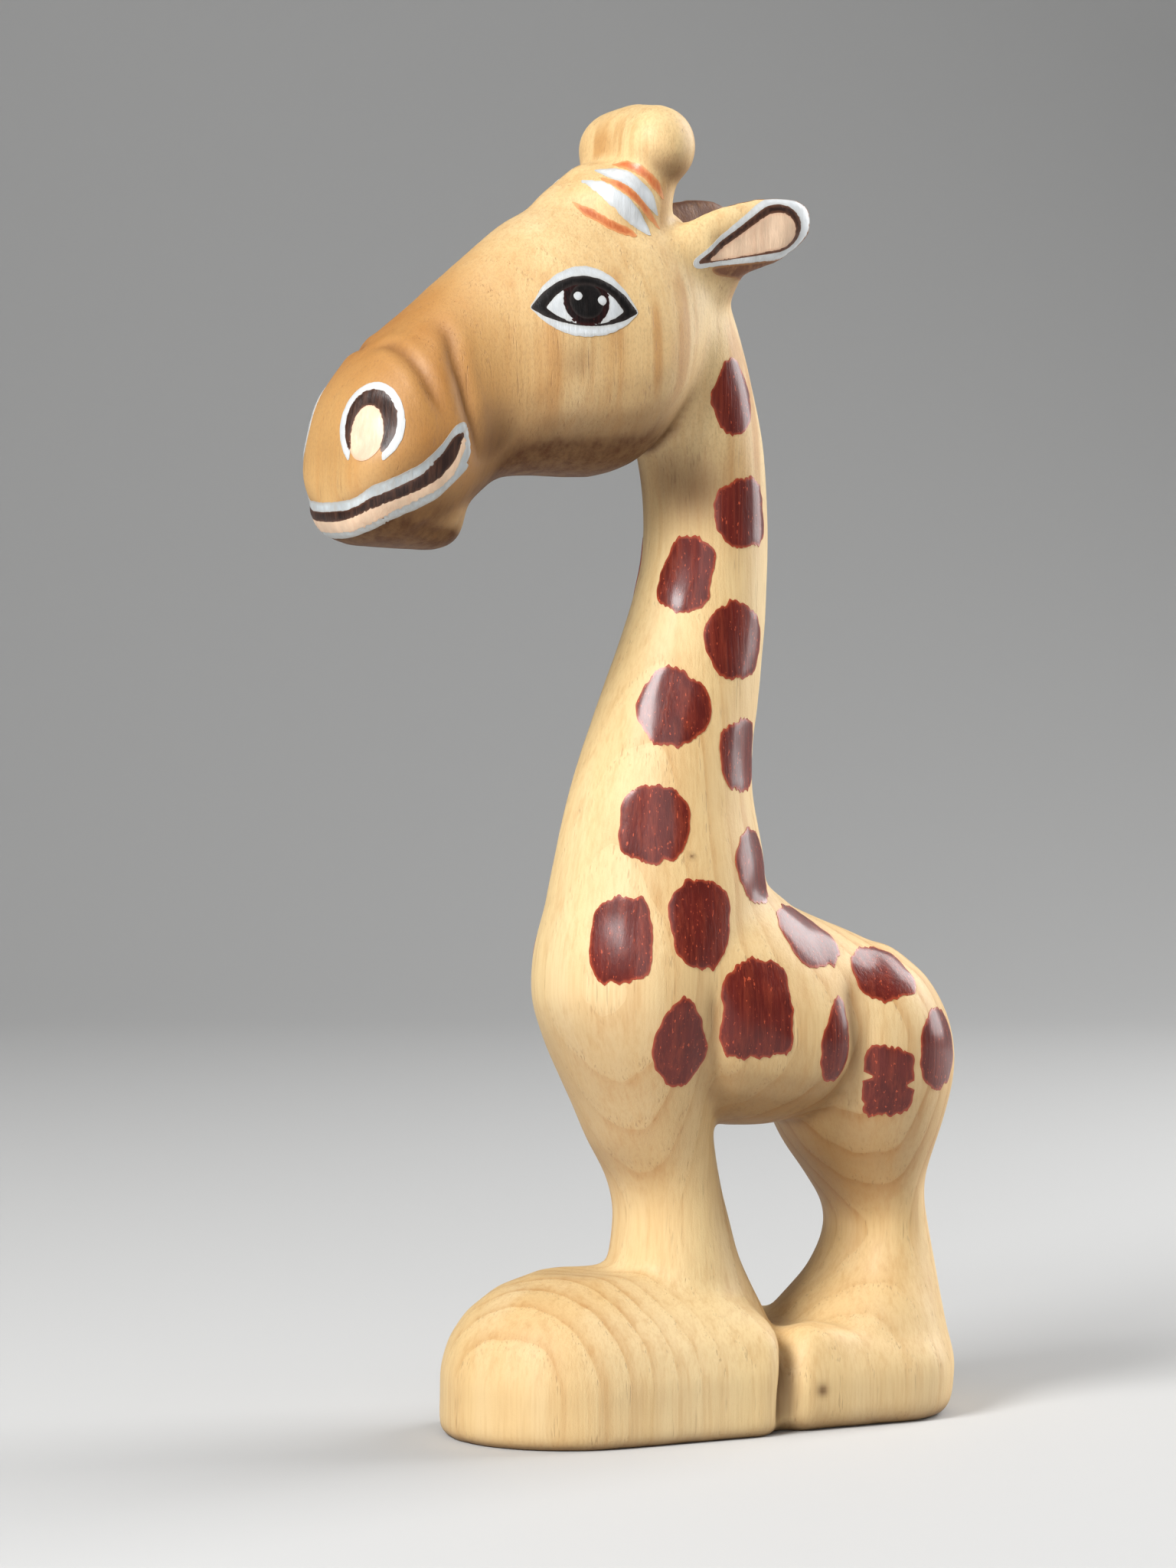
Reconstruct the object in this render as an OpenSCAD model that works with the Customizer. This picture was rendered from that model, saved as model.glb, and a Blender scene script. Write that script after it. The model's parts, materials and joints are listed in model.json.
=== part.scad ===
/*
  Carved giraffe statue: one solid wood carving on a two-block foot, with its painted features as
  thin closed layers. Millimetres, +Z up, the giraffe faces -Y and its left side is +X. The origin is
  on the table, in the middle of the bounding box.
*/

/* [Statue] */
// Height from the table to the top of the horns
height = 175; // [160:1:190]
// Width of the front foot, the widest part of the wooden block below the head
foot_w = 33; // [30:0.5:36]
// How far each ear's tip stands out from the middle of the head
ear_reach = 12.6; // [11.5:0.1:14]
// Thickness of each painted layer
paint_t = 0.2; // [0.15:0.05:0.3]

/* [Eye] */
// Length of the white area round the eye
eye_w = 14.8; // [13:0.2:16]
// Height of the white area round the eye
eye_h = 9.6; // [8.6:0.2:10.4]
// Diameter of the iris
iris_d = 6.2; // [6.2:0.1:6.4]

/* [Face] */
// Width of the white line round the mouth
lip_line = 1.4; // [1:0.1:1.6]
// Width of the white ring round the nostril
nostril_line = 1.1; // [0.8:0.1:1.4]
// Width of the white rim on the ear
ear_rim = 1.4; // [1.2:0.1:1.6]

/* [Fineness] */
// Sides of each carved ring
ring_sides = 24; // [20:4:32]
// Rings between two stations of a limb
ring_steps = 2; // [1:1:3]

/* [Hidden] */

DESIGN_HEIGHT = 175;
k = height / DESIGN_HEIGHT;
$fn = 20;

wood = [0.90, 0.76, 0.52];
oxblood = [0.42, 0.12, 0.10];
paint_white = [0.93, 0.94, 0.95];
paint_black = [0.06, 0.05, 0.05];
paint_brown = [0.24, 0.11, 0.08];
paint_pink = [0.88, 0.66, 0.55];
paint_orange = [0.82, 0.40, 0.22];

// The limbs are drawn from a line just ahead of the front leg, so the whole is moved to the middle.
nose_y = -37.8;
rump_y = 53.2;
middle_y = (nose_y + rump_y) / 2;

// Each row of an upright limb is [z, front y, back y, half width, squareness, widening upwards].
FRONT_LIMB = [
  [10, 2, 27, 12.0, 2.3, 0],
  [16, 3, 24.2, 10.6, 2.2, 0],
  [22, 4.2, 21.4, 9.4, 2.1, 0],
  [28, 5.0, 19.6, 8.6, 2.1, 0],
  [33, 4.0, 18.2, 8.8, 2.1, 0],
  [38, 1.4, 17.2, 9.9, 2.1, 0],
  [44, -1.2, 16.8, 11.8, 2.1, 0],
  [50.5, -4.0, 17.2, 13.8, 2.1, 0],
  [57, -6.1, 18.6, 15.0, 2.1, 0],
  [63, -6.0, 20.7, 15.0, 2.1, 0],
  [69, -4.9, 24.4, 14.2, 2.0, 0],
  [76, -3.6, 24.8, 13.0, 2.0, 0],
  [83, -1.9, 23.4, 11.8, 2.0, 0],
  [90, 0.3, 23.2, 11.0, 2.0, 0],
  [98, 3.3, 24.4, 10.0, 2.0, 0],
  [106, 6.4, 25.3, 9.2, 2.0, 0],
  [114, 8.8, 25.7, 8.6, 2.0, 0],
  [122, 9.3, 25.7, 8.5, 2.0, 0],
  [130, 8.0, 25.0, 8.8, 2.0, 0],
  [138, 5.0, 23.3, 9.3, 2.0, 0],
  [146, 2.0, 21.0, 9.3, 2.0, 0],
  [153, 2.2, 18.0, 8.2, 2.0, 0],
  [158, 5.0, 13.5, 5.0, 2.0, 0],
];

REAR_LIMB = [
  [7, 28.2, 52.8, 14.6, 2.4, 0],
  [13, 30.2, 51.8, 13.2, 2.3, 0],
  [19, 35.6, 51.0, 10.6, 2.2, 0],
  [25.5, 37.8, 50.0, 8.9, 2.1, 0],
  [31, 35.3, 49.3, 9.8, 2.1, 0],
  [36, 31.8, 50.6, 11.9, 2.1, 0],
  [42, 28.8, 52.4, 14.2, 2.1, 0],
  [48, 27.6, 53.2, 15.4, 2.1, 0],
  [54, 27.6, 51.9, 15.3, 2.1, 0],
  [59.5, 29.8, 48.6, 12.8, 2.1, 0],
  [63.5, 34, 43.5, 7.4, 2.1, 0],
];

// Each row of a lying part is [y, lowest z, highest z, half width, squareness, widening upwards].
TRUNK = [
  [2, 50, 66, 10, 2.1, 0],
  [8, 43.5, 72, 14, 2.1, 0],
  [15, 40.4, 76, 15.4, 2.2, -0.12],
  [22, 39.4, 74.4, 15.7, 2.2, -0.18],
  [29, 40.2, 69.2, 15.2, 2.2, -0.18],
  [36, 43, 66.2, 13.8, 2.2, -0.12],
  [43, 46, 63, 12.0, 2.1, 0],
  [49.5, 49, 57, 8.4, 2.0, 0],
];

HEAD = [
  [-37.8, 121.6, 131, 5.5, 2.3, 0],
  [-37, 119, 135, 8.8, 2.3, 0],
  [-35, 117.2, 138.8, 11.2, 2.3, 0],
  [-31.5, 116.8, 142.8, 12.7, 2.3, 0],
  [-27.5, 117.2, 146, 13.0, 2.3, -0.04],
  [-23.5, 118.6, 149.4, 12.4, 2.3, -0.08],
  [-19.5, 121.6, 152.9, 11.6, 2.2, -0.1],
  [-15.5, 125.0, 156.2, 11.7, 2.2, -0.1],
  [-10.5, 126.0, 159.8, 12.8, 2.2, -0.12],
  [-5, 125.9, 162.2, 13.6, 2.2, -0.14],
  [1, 126.0, 163.6, 13.9, 2.2, -0.16],
  [6, 128.4, 163.6, 13.4, 2.2, -0.16],
  [10.5, 133.4, 161.6, 11.4, 2.2, -0.14],
  [14, 140, 158.4, 8.8, 2.1, -0.1],
  [16.5, 146, 152.6, 4.6, 2.0, 0],
];

FOOT_RADIUS = foot_w / 2;

// ---------------------------------------------------------------- lofts

// Point between b and c of four values on a smooth curve, at t from 0 to 1.
function between(a, b, c, d, t) =
  0.5 * (2 * b + (c - a) * t + (2 * a - 5 * b + 4 * c - d) * pow(t, 2)
    + (3 * b - a - 3 * c + d) * pow(t, 3));

// Stations with smooth ones added between them.
function refined(rows, steps) = let (last = len(rows) - 1) [
  for (i = [0:last - 1])
    for (s = [0:steps - 1])
      between(rows[max(i - 1, 0)], rows[i], rows[i + 1], rows[min(i + 2, last)], s / steps),
  rows[last]
];

function signed_power(v, p) = v == 0 ? 0 : sign(v) * pow(abs(v), p);

// A ring of [x, other] points: a rounded rectangle whose squareness is 2 for an ellipse.
function ring(low, high, half_w, squareness, widening, grow) = [
  for (i = [0:ring_sides - 1])
    let (
      a = 360 * i / ring_sides,
      up = signed_power(sin(a), 2 / squareness),
      out = signed_power(cos(a), 2 / squareness)
    )
    [(half_w * (1 + widening * up) + grow) * out, (low + high) / 2 + ((high - low) / 2 + grow) * up]
];

// Closed skin over rings of equal length.
module skin(rings) {
  n = len(rings[0]);
  last = len(rings) - 1;
  polyhedron(
    points = [for (r = rings) for (p = r) p],
    faces = concat(
      [[for (i = [0:n - 1]) i]],
      [for (j = [0:last - 1]) for (i = [0:n - 1]) let (m = (i + 1) % n)
        [j * n + i, (j + 1) * n + i, (j + 1) * n + m]],
      [for (j = [0:last - 1]) for (i = [0:n - 1]) let (m = (i + 1) % n)
        [j * n + i, (j + 1) * n + m, j * n + m]],
      [[for (i = [n - 1:-1:0]) last * n + i]]
    )
  );
}

module upright(rows, grow) {
  skin([for (r = refined(rows, ring_steps))
    [for (p = ring(r[1], r[2], r[3], r[4], r[5], grow)) [p[0], p[1], r[0]]]]);
}

module lying(rows, grow) {
  stations = refined(rows, ring_steps);
  last = len(stations) - 1;
  skin([for (j = [0:last])
    let (r = stations[j], y = r[0] + (j == 0 ? -grow : j == last ? grow : 0))
    [for (p = ring(r[1], r[2], r[3], r[4], r[5], grow)) [-p[0], y, p[1]]]]);
}

// ---------------------------------------------------------------- the carving

// An ellipsoid with its half sizes along x, y and z.
module egg(centre, half, grow = 0, sides = 20) {
  translate(centre)
    scale(half + [grow, grow, grow])
      sphere(r = 1, $fn = sides);
}

module mirrored() {
  children();
  mirror([1, 0, 0])
    children();
}

// A thin slice of a foot block at height z: rounded at the toe, squarer at the other end.
module foot_slice(z, toe_y, heel_y, toe_r, heel_r, half_w) {
  forward = toe_y < heel_y ? 1 : -1;
  translate([0, 0, z])
    linear_extrude(0.01)
      hull() {
        translate([0, toe_y + forward * toe_r])
          scale([half_w / toe_r, 1])
            circle(r = toe_r, $fn = 32);
        for (side = [-1, 1])
          translate([side * (half_w - heel_r), heel_y - forward * heel_r])
            circle(r = heel_r);
      }
}

// Each row of a foot is [z, toe y, heel y, half width].
FRONT_FOOT = [
  [0, -19.3, 21, FOOT_RADIUS - 0.7],
  [0.8, -20, 21.7, FOOT_RADIUS],
  [8.5, -20, 22.2, FOOT_RADIUS],
  [12.5, -18.8, 22, FOOT_RADIUS - 1.1],
  [16, -16.4, 20, FOOT_RADIUS - 3.4],
  [19, -12.6, 16.4, FOOT_RADIUS - 6.6],
  [21, -7, 12, FOOT_RADIUS - 10],
];

REAR_FOOT = [
  [0, 51.4, 21.7, FOOT_RADIUS - 2.4],
  [1.6, 52.6, 21, FOOT_RADIUS - 1.2],
  [7, 53.2, 21.2, FOOT_RADIUS - 1],
  [10, 52.8, 22.8, FOOT_RADIUS - 2],
  [12.5, 51.8, 25.6, FOOT_RADIUS - 3.8],
];

module foot(rows, toe_r, heel_r, grow) {
  forward = rows[0][1] < rows[0][2] ? 1 : -1;
  hull()
    for (r = rows)
      foot_slice(r[0] + (r[0] > 0 ? grow : 0), r[1] - forward * grow, r[2] + forward * grow,
        min(toe_r, r[3]), heel_r, r[3] + grow);
}

module web(grow) {
  hull() {
    for (y = [20, 36])
      translate([-11 - grow, y, 0])
        cube([22 + 2 * grow, 0.1, 8]);
    for (y = [20, 36])
      translate([-7 - grow, y, 0])
        cube([14 + 2 * grow, 0.1, 12.5 + grow]);
  }
}

module horns(grow) {
  hull() {
    mirrored()
      egg([6.1, 7.2, 169], [5.2, 4.9, 5.4], grow);
    egg([0, 7.2, 169.8], [6, 4.8, 5.2], grow);
  }
  hull() {
    mirrored()
      egg([5.2, 5.4, 164.6], [4.2, 4.4, 3.6], grow);
    mirrored()
      egg([5.0, 4.2, 158], [4.4, 4.8, 5], grow);
  }
}

module ear(grow) {
  hull() {
    egg([8.0, 9.6, 155], [2.8, 3.2, 3.8], grow, 12);
    egg([9.3, 16.2, 156.8], [2.0, 3.4, 4.8], grow, 12);
    egg([ear_reach - 1.9, 21.4, 158.3], [1.5, 3.9, 4.5], grow, 16);
    egg([ear_reach - 1.7, 24.9, 159.4], [1.3, 2.7, 3.1], grow, 12);
  }
}

// The right ear stands a little higher.
RIGHT_EAR_HIGHER = 0.9;

function ear_place(side) = [0, 0, side < 0 ? RIGHT_EAR_HIGHER : 0];

module ears(grow) {
  for (side = [-1, 1])
    on_side(side)
      translate(ear_place(side))
        ear(grow);
}

// The back of the head, below the ears.
module nape(grow) {
  hull() {
    mirrored()
      egg([5.2, 12.8, 150.2], [4.2, 5.4, 4.2], grow);
    mirrored()
      egg([7.35, 14.66, 153.15], [2.5, 4.3, 2.6], grow, 12);
    egg([0, 12.4, 146], [6, 6, 6], grow);
  }
}

module chin(grow) {
  hull() {
    egg([0, -23.6, 120.8], [8.2, 4.2, 4.4], grow);
    egg([0, -30, 121.6], [10, 5, 5], grow);
  }
}

module forelock(grow) {
  hull() {
    mirrored()
      egg([4.4, 2.4, 161.2], [5.6, 5.6, 5.2], grow);
    egg([0, 0.6, 163.5], [4.2, 3.8, 3.9], grow);
    egg([0, -5.4, 160.2], [3.6, 2.8, 2.7], grow);
  }
}

// The whole carving, made larger all round by grow.
module carving(grow = 0) {
  upright(FRONT_LIMB, grow);
  upright(REAR_LIMB, grow);
  lying(TRUNK, grow);
  lying(HEAD, grow);
  foot(FRONT_FOOT, FOOT_RADIUS, 4, grow);
  foot(REAR_FOOT, 11, 4, grow);
  web(grow);
  horns(grow);
  ears(grow);
  nape(grow);
  chin(grow);
  forelock(grow);
}

// Moves what is drawn about the front leg to the middle of the statue, at its chosen height.
module placed() {
  scale(k)
    translate([0, -middle_y, 0])
      children();
}

module carved_body() {
  color(wood)
    placed()
      carving();
}

// ---------------------------------------------------------------- paint

// The part of a paint film over the whole carving that lies inside the children.
module film(tone) {
  color(tone)
    placed()
      intersection() {
        difference() {
          carving(paint_t);
          carving();
        }
        union()
          children();
      }
}

// Side is 1 for the left and -1 for the right.
module on_side(side) {
  mirror([side < 0 ? 1 : 0, 0, 0])
    children();
}

// Stands a flat outline on the surface at a point. It faces -Y at facing 0 and +X at facing 90,
// and lift tips it up. The outline's x runs to the right of someone looking at it.
module stamp(at, facing, lift = 0, turn = 0, depth = 3.4) {
  translate(at)
    rotate([90 - lift, 0, facing])
      rotate([0, 0, turn])
        linear_extrude(2 * depth, center = true)
          children();
}

// ---------------------------------------------------------------- eyes

EYE_AT = [12.4, -6.8, 147.2];
EYE_FACING = 80;
EYE_LIFT = 13;
EYE_TURN = -2;
IRIS_AT = [0.1, 1.0];
LINER_W = 1.2;
LOWER_LINER_W = 0.25;
PUPIL_SHARE = 0.68;
GLINTS = [[-1.1, 1.6], [2.1, 1.2]];
GLINT_R = 0.66;

// Height of an eyelid over the eye's corners, at a share t of the way across.
function lid(t, rise) = rise * pow(1 - pow(2 * t - 1, 2), 0.85);

// Two arched lids that meet in corners.
module almond(width, above, below) {
  n = 8;
  polygon(concat(
    [for (i = [0:n]) [width * (i / n - 0.5), lid(i / n, above)]],
    [for (i = [n - 1:-1:1]) [width * (i / n - 0.5), -lid(i / n, below)]]
  ));
}

module eye_outside() {
  almond(eye_w, 0.62 * eye_h, 0.38 * eye_h);
}

module eye_lined() {
  almond(eye_w - 0.3, 0.62 * eye_h - 1.5, 0.38 * eye_h - 1.4);
}

module eye_opening() {
  almond(eye_w - 4.2, 0.62 * eye_h - 1.5 - LINER_W, 0.38 * eye_h - 1.4 - LOWER_LINER_W);
}

module iris_circle(share = 1) {
  translate(IRIS_AT)
    circle(d = iris_d * share, $fn = 18);
}

module glint_discs() {
  for (g = GLINTS)
    translate(g)
      circle(r = GLINT_R, $fn = 10);
}

module eye_film(side, tone) {
  film(tone)
    on_side(side)
      stamp(EYE_AT, EYE_FACING, EYE_LIFT, EYE_TURN)
        children();
}

module eye_surround(side) {
  eye_film(side, paint_white)
    difference() {
      eye_outside();
      eye_lined();
    }
}

module eye_liner(side) {
  eye_film(side, paint_black)
    difference() {
      eye_lined();
      eye_opening();
    }
}

module eye_white(side) {
  eye_film(side, paint_white)
    difference() {
      eye_opening();
      iris_circle();
    }
}

// The upper and lower lids cut the iris off.
module eye_iris(side) {
  eye_film(side, paint_brown)
    difference() {
      intersection() {
        iris_circle();
        eye_opening();
      }
      iris_circle(PUPIL_SHARE);
      glint_discs();
    }
}

module eye_pupil(side) {
  eye_film(side, paint_black)
    difference() {
      iris_circle(PUPIL_SHARE);
      glint_discs();
    }
}

module eye_glints(side) {
  eye_film(side, paint_white)
    glint_discs();
}

// ---------------------------------------------------------------- nostrils

NOSTRIL_AT = [9.0, -36.0, 132.5];
NOSTRIL_FACING = 36;
// The right nostril is painted a little further back.
RIGHT_NOSTRIL_AT = [10.6, -34.5, 132.5];
RIGHT_NOSTRIL_FACING = 48;
NOSTRIL_LIFT = 12;
NOSTRIL_W = 9.9;
NOSTRIL_H = 11.4;

module oval(width, high) {
  scale([width / 2, high / 2])
    circle(r = 1, $fn = 20);
}

// What the ring leaves open below, down to the foot of the fill.
module nostril_mouth() {
  polygon([[0, 0.5], [2.3, -3], [2.5, -7], [-3, -7], [-2.5, -3]]);
}

module nostril_inside() {
  oval(NOSTRIL_W - 2 * nostril_line, NOSTRIL_H - 2 * nostril_line);
}

module nostril_pink() {
  translate([-0.4, -1.1])
    oval(5.4, 7.6);
}

module nostril_film(side, tone) {
  at = side > 0 ? NOSTRIL_AT : RIGHT_NOSTRIL_AT;
  facing = side > 0 ? NOSTRIL_FACING : RIGHT_NOSTRIL_FACING;
  film(tone)
    on_side(side)
      stamp(at, facing, NOSTRIL_LIFT, depth = 3)
        children();
}

module nostril_ring(side) {
  nostril_film(side, paint_white)
    difference() {
      oval(NOSTRIL_W, NOSTRIL_H);
      nostril_inside();
      nostril_mouth();
    }
}

module nostril_shade(side) {
  nostril_film(side, paint_brown)
    difference() {
      nostril_inside();
      nostril_pink();
      nostril_mouth();
    }
}

module nostril_fill(side) {
  nostril_film(side, paint_pink)
    nostril_pink();
}

// ---------------------------------------------------------------- mouth

// The lips as seen from the side, from the front of the nose to the corner of the mouth. Each row is
// [y, top of the parting, bottom of the parting, bottom of the lip]. They run round to the other side.
LIPS = [
  [-40, 120.2, 119.2, 117.8],
  [-37.4, 121.3, 120.2, 118.2],
  [-36, 122.9, 121.5, 119.2],
  [-33, 124.2, 122.9, 121.5],
  [-30, 125.7, 124.2, 122.9],
  [-27.3, 128.2, 125.7, 124.3],
  [-25.3, 130.9, 128.0, 126.2],
];
LIP_CORNER = [-24.2, 131.3];
LIP_END = [-23.9, 129.4];

function lip_edge(column, higher = 0) = [for (r = LIPS) [r[0], r[column] + higher]];

function reversed(list) = [for (i = [len(list) - 1:-1:0]) list[i]];

// A flat outline of [y, z] points, cut right across the head.
module across(points) {
  rotate([90, 0, 90])
    linear_extrude(40, center = true)
      polygon(points);
}

module upper_lip_line() {
  tip = [
    [LIP_CORNER[0] + 0.3 * lip_line, LIP_CORNER[1] + 1.1 * lip_line],
    [LIP_CORNER[0] + 0.8 * lip_line, LIP_CORNER[1] + 0.7 * lip_line]
  ];
  film(paint_white)
    across(concat(lip_edge(1, lip_line), tip, [LIP_CORNER], reversed(lip_edge(1))));
}

module mouth_line() {
  film(paint_brown)
    across(concat(lip_edge(1), [LIP_CORNER], reversed(lip_edge(2))));
}

module lower_lip() {
  film(paint_pink)
    across(concat(lip_edge(2), [LIP_CORNER, LIP_END], reversed(lip_edge(3))));
}

module lower_lip_line() {
  outside = [
    [LIP_CORNER[0] + 0.8 * lip_line, LIP_CORNER[1] + 0.7 * lip_line],
    [LIP_END[0] + lip_line, LIP_END[1] + 0.4],
    [LIP_END[0] + 0.5 * lip_line, LIP_END[1] - 2.6]
  ];
  film(paint_white)
    across(concat(lip_edge(3), [LIP_END, LIP_CORNER], outside, reversed(lip_edge(3, -lip_line))));
}

// ---------------------------------------------------------------- ears

EAR_ROOT = [10.2, 10.1, 153.4];
EAR_FACING = 78;
EAR_RISE = 23.5;
EAR_LENGTH = 19.3;
EAR_W = 9.2;
EAR_TIP = 1.2;
EAR_LINE = 0.75;
EAR_SAG = 0.35;
EAR_MIDDLE = [8.0, 9.6, 0];

// A drop along x, with its point at the start and a round far end.
module drop(long, wide, point_r) {
  hull() {
    translate([point_r, 0])
      circle(r = point_r, $fn = 10);
    translate([long - 0.57 * wide, 0])
      scale([1.14, 1])
        circle(d = wide, $fn = 18);
  }
}

module ear_stamp(side, depth = 3) {
  on_side(side)
    stamp(EAR_ROOT + ear_place(side), EAR_FACING, 0, EAR_RISE, depth)
      children();
}

// The part of the ear that looks outwards.
module outer_half(side) {
  on_side(side)
    translate(EAR_MIDDLE)
      rotate([0, 0, EAR_FACING - 90])
        translate([0, -10, 140])
          cube([20, 40, 40]);
}

// The drop that lies inside the rim, by inset. All of them start close to the ear's root.
module inner_drop(inset, from) {
  translate([from, 0])
    drop(EAR_LENGTH - EAR_TIP - from - 1.25 * inset, EAR_W - 2 * inset, 0.2);
}

module ear_film(side, tone) {
  film(tone)
    intersection() {
      outer_half(side);
      ear_stamp(side)
        children();
    }
}

module ear_rim(side) {
  ear_film(side, paint_white)
    difference() {
      drop(EAR_LENGTH, EAR_W, 0.6);
      inner_drop(ear_rim, 0.7);
    }
}

module ear_line(side) {
  ear_film(side, paint_brown)
    difference() {
      inner_drop(ear_rim, 0.7);
      ear_inside();
    }
}

// The ear's inside lies a little low, so that its line is thicker above.
module ear_inside() {
  translate([0, -EAR_SAG])
    inner_drop(ear_rim + EAR_LINE, 2.4);
}

module ear_fill(side) {
  ear_film(side, paint_pink)
    ear_inside();
}

// The back of the ear, and the ear's thickness below the white rim.
module ear_back(side) {
  film(paint_brown) {
    difference() {
      ear_stamp(side, 4.2)
        translate([3, 0])
          drop(EAR_LENGTH - 1, EAR_W + 4, 5);
      outer_half(side);
    }
    ear_stamp(side)
      difference() {
        translate([2, -1.2])
          drop(EAR_LENGTH, EAR_W + 3, 1.5);
        drop(EAR_LENGTH, EAR_W, 0.6);
        square(2 * EAR_LENGTH);
      }
  }
}

// ---------------------------------------------------------------- forelock

FORELOCK_AT = [8.2, 1.8, 161.4];
FORELOCK_FACING = 70;
// The right strokes reach further to the front.
RIGHT_FORELOCK_AT = [6.8, 0.4, 161.8];
RIGHT_FORELOCK_FACING = 56;
FORELOCK_LIFT = 20;

// Each brush stroke is [start, end, how far it bows, width].
WHITE_STROKES = [
  [[-4.4, 5.5], [4.2, -1.7], 0.6, 2.3],
  [[-6.2, 3.9], [3.0, -4.4], 0.1, 2.3],
];
ORANGE_STROKES = [
  [[-2.0, 6.2], [5.0, 0.6], 0.5, 1.4],
  [[-3.9, 3.5], [4.3, -3.2], 0.3, 1.1],
  [[-7.6, 0.6], [1.0, -4.6], -0.7, 1.3],
];

// A bowed stroke that thins out at both ends.
module stroke(start, end, bow, width) {
  n = 5;
  along = end - start;
  across = [-along[1], along[0]] / norm(along);
  function bowed(t) = 4 * bow * t * (1 - t);
  function swell(t) = width / 2 * sqrt(sin(180 * t));
  function at(t, edge) = start + along * t + across * (bowed(t) + edge * swell(t));
  polygon(concat(
    [for (i = [0:n]) at(i / n, 1)],
    [for (i = [n - 1:-1:1]) at(i / n, -1)]
  ));
}

module strokes(list) {
  for (s = list)
    stroke(s[0], s[1], s[2], s[3]);
}

module forelock_film(side, tone) {
  at = side > 0 ? FORELOCK_AT : RIGHT_FORELOCK_AT;
  facing = side > 0 ? FORELOCK_FACING : RIGHT_FORELOCK_FACING;
  film(tone)
    on_side(side)
      stamp(at, facing, FORELOCK_LIFT)
        children();
}

module forelock_white(side) {
  forelock_film(side, paint_white)
    difference() {
      strokes(WHITE_STROKES);
      strokes(ORANGE_STROKES);
    }
}

module forelock_orange(side) {
  forelock_film(side, paint_orange)
    strokes(ORANGE_STROKES);
}

// ---------------------------------------------------------------- spots

// Each spot is [[x, y, z], facing, lift, width, height, turn, squareness above, squareness below].
NECK_SPOTS = [
  [[8.9, 17.2, 136.4], 110, 3, 7.6, 10.2, 0, 1.4, 1.8],
  [[8.3, 19.0, 121.2], 108, 0, 8.2, 9.4, 6, 2.8, 3.2],
  [[6.2, 11.2, 113.0], 44, 8, 7.2, 10.3, -12, 2.8, 3.4],
  [[9.0, 17.6, 104.4], 102, 3, 9.8, 10.3, 0, 2.0, 2.2],
  [[8.9, 8.0, 95.9], 59, 13, 10.2, 10.5, 6, 1.8, 1.9],
  [[9.3, 18.0, 89.3], 122, 2, 8.4, 9.2, 4, 3.6, 3.6],
  [[10.6, 4.4, 80.9], 60, 11, 8.8, 9.7, -4, 3.2, 5],
  [[10.4, 19.6, 75.0], 122, 6, 8.6, 10.4, 14, 1.7, 2.2],
];
CHEST_SPOTS = [
  [[14.2, 9.4, 67.5], 92, 7, 8.9, 12.4, -6, 2.8, 1.9],
  [[11.0, -0.9, 65.8], 46, 13, 8.8, 11.4, 4, 2.6, 3.6],
  [[14.2, 6.5, 52.3], 82, -12, 7.9, 12.8, 0, 1.35, 1.7],
];
FLANK_SPOTS = [
  [[15.6, 17, 56.6], 88, 3, 10.8, 13.2, 0, 2.1, 6],
  [[11.0, 27.4, 65.8], 112, 36, 9.6, 10.4, 20, 2.2, 2.6],
  [[15.5, 29.2, 52.1], 96, 5, 5.0, 11.6, -8, 1.4, 1.9],
];
RUMP_SPOTS = [
  [[12.2, 38, 60.6], 92, 42, 9.0, 9.2, 14, 2.6, 2.6],
  [[14.0, 46, 50.1], 116, 0, 8.2, 10.6, 0, 2.2, 3.4],
  [[14.8, 37.4, 45.8], 76, -9, 7.2, 9.4, 0, 5, 5],
];

// The other side has its own uneven spots: each is moved and resized a little, and one that
// looks forwards goes further round.
function varied(spots) = [
  for (i = [0:len(spots) - 1])
    let (s = spots[i], a = 137 * i, round_by = s[1] < 45 ? 9 : 0)
    [s[0] + [0.09 * round_by, 0.12 * round_by + 0.7 * sin(a), 0.8 * cos(a)], s[1] + round_by, s[2],
      s[3] * (1 + 0.07 * sin(2 * a)), s[4] * (1 - 0.07 * cos(3 * a)), -s[5], s[7], s[6]]
];

module spot(width, high, above, below) {
  n = 14;
  polygon([
    for (i = [0:n - 1])
      let (a = 360 * (i + 0.5) / n, p = 2 / (sin(a) > 0 ? above : below))
      [width / 2 * signed_power(cos(a), p), high / 2 * signed_power(sin(a), p)]
  ]);
}

module spots(side, list) {
  film(oxblood)
    on_side(side)
      for (s = side > 0 ? list : varied(list))
        stamp(s[0], s[1], s[2], s[5])
          spot(s[3], s[4], s[6], s[7]);
}

carved_body();
eye_surround(1);  // left_eye_surround
eye_liner(1);  // left_eye_liner
eye_white(1);  // left_eye_white
eye_iris(1);  // left_eye_iris
eye_pupil(1);  // left_eye_pupil
eye_glints(1);  // left_eye_glints
eye_surround(-1);  // right_eye_surround
eye_liner(-1);  // right_eye_liner
eye_white(-1);  // right_eye_white
eye_iris(-1);  // right_eye_iris
eye_pupil(-1);  // right_eye_pupil
eye_glints(-1);  // right_eye_glints
nostril_ring(1);  // left_nostril_ring
nostril_shade(1);  // left_nostril_shade
nostril_fill(1);  // left_nostril_fill
nostril_ring(-1);  // right_nostril_ring
nostril_shade(-1);  // right_nostril_shade
nostril_fill(-1);  // right_nostril_fill
upper_lip_line();
mouth_line();
lower_lip();
lower_lip_line();
ear_rim(1);  // left_ear_rim
ear_line(1);  // left_ear_line
ear_fill(1);  // left_ear_fill
ear_back(1);  // left_ear_back
ear_rim(-1);  // right_ear_rim
ear_line(-1);  // right_ear_line
ear_fill(-1);  // right_ear_fill
ear_back(-1);  // right_ear_back
forelock_white(1);  // left_forelock_white
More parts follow.
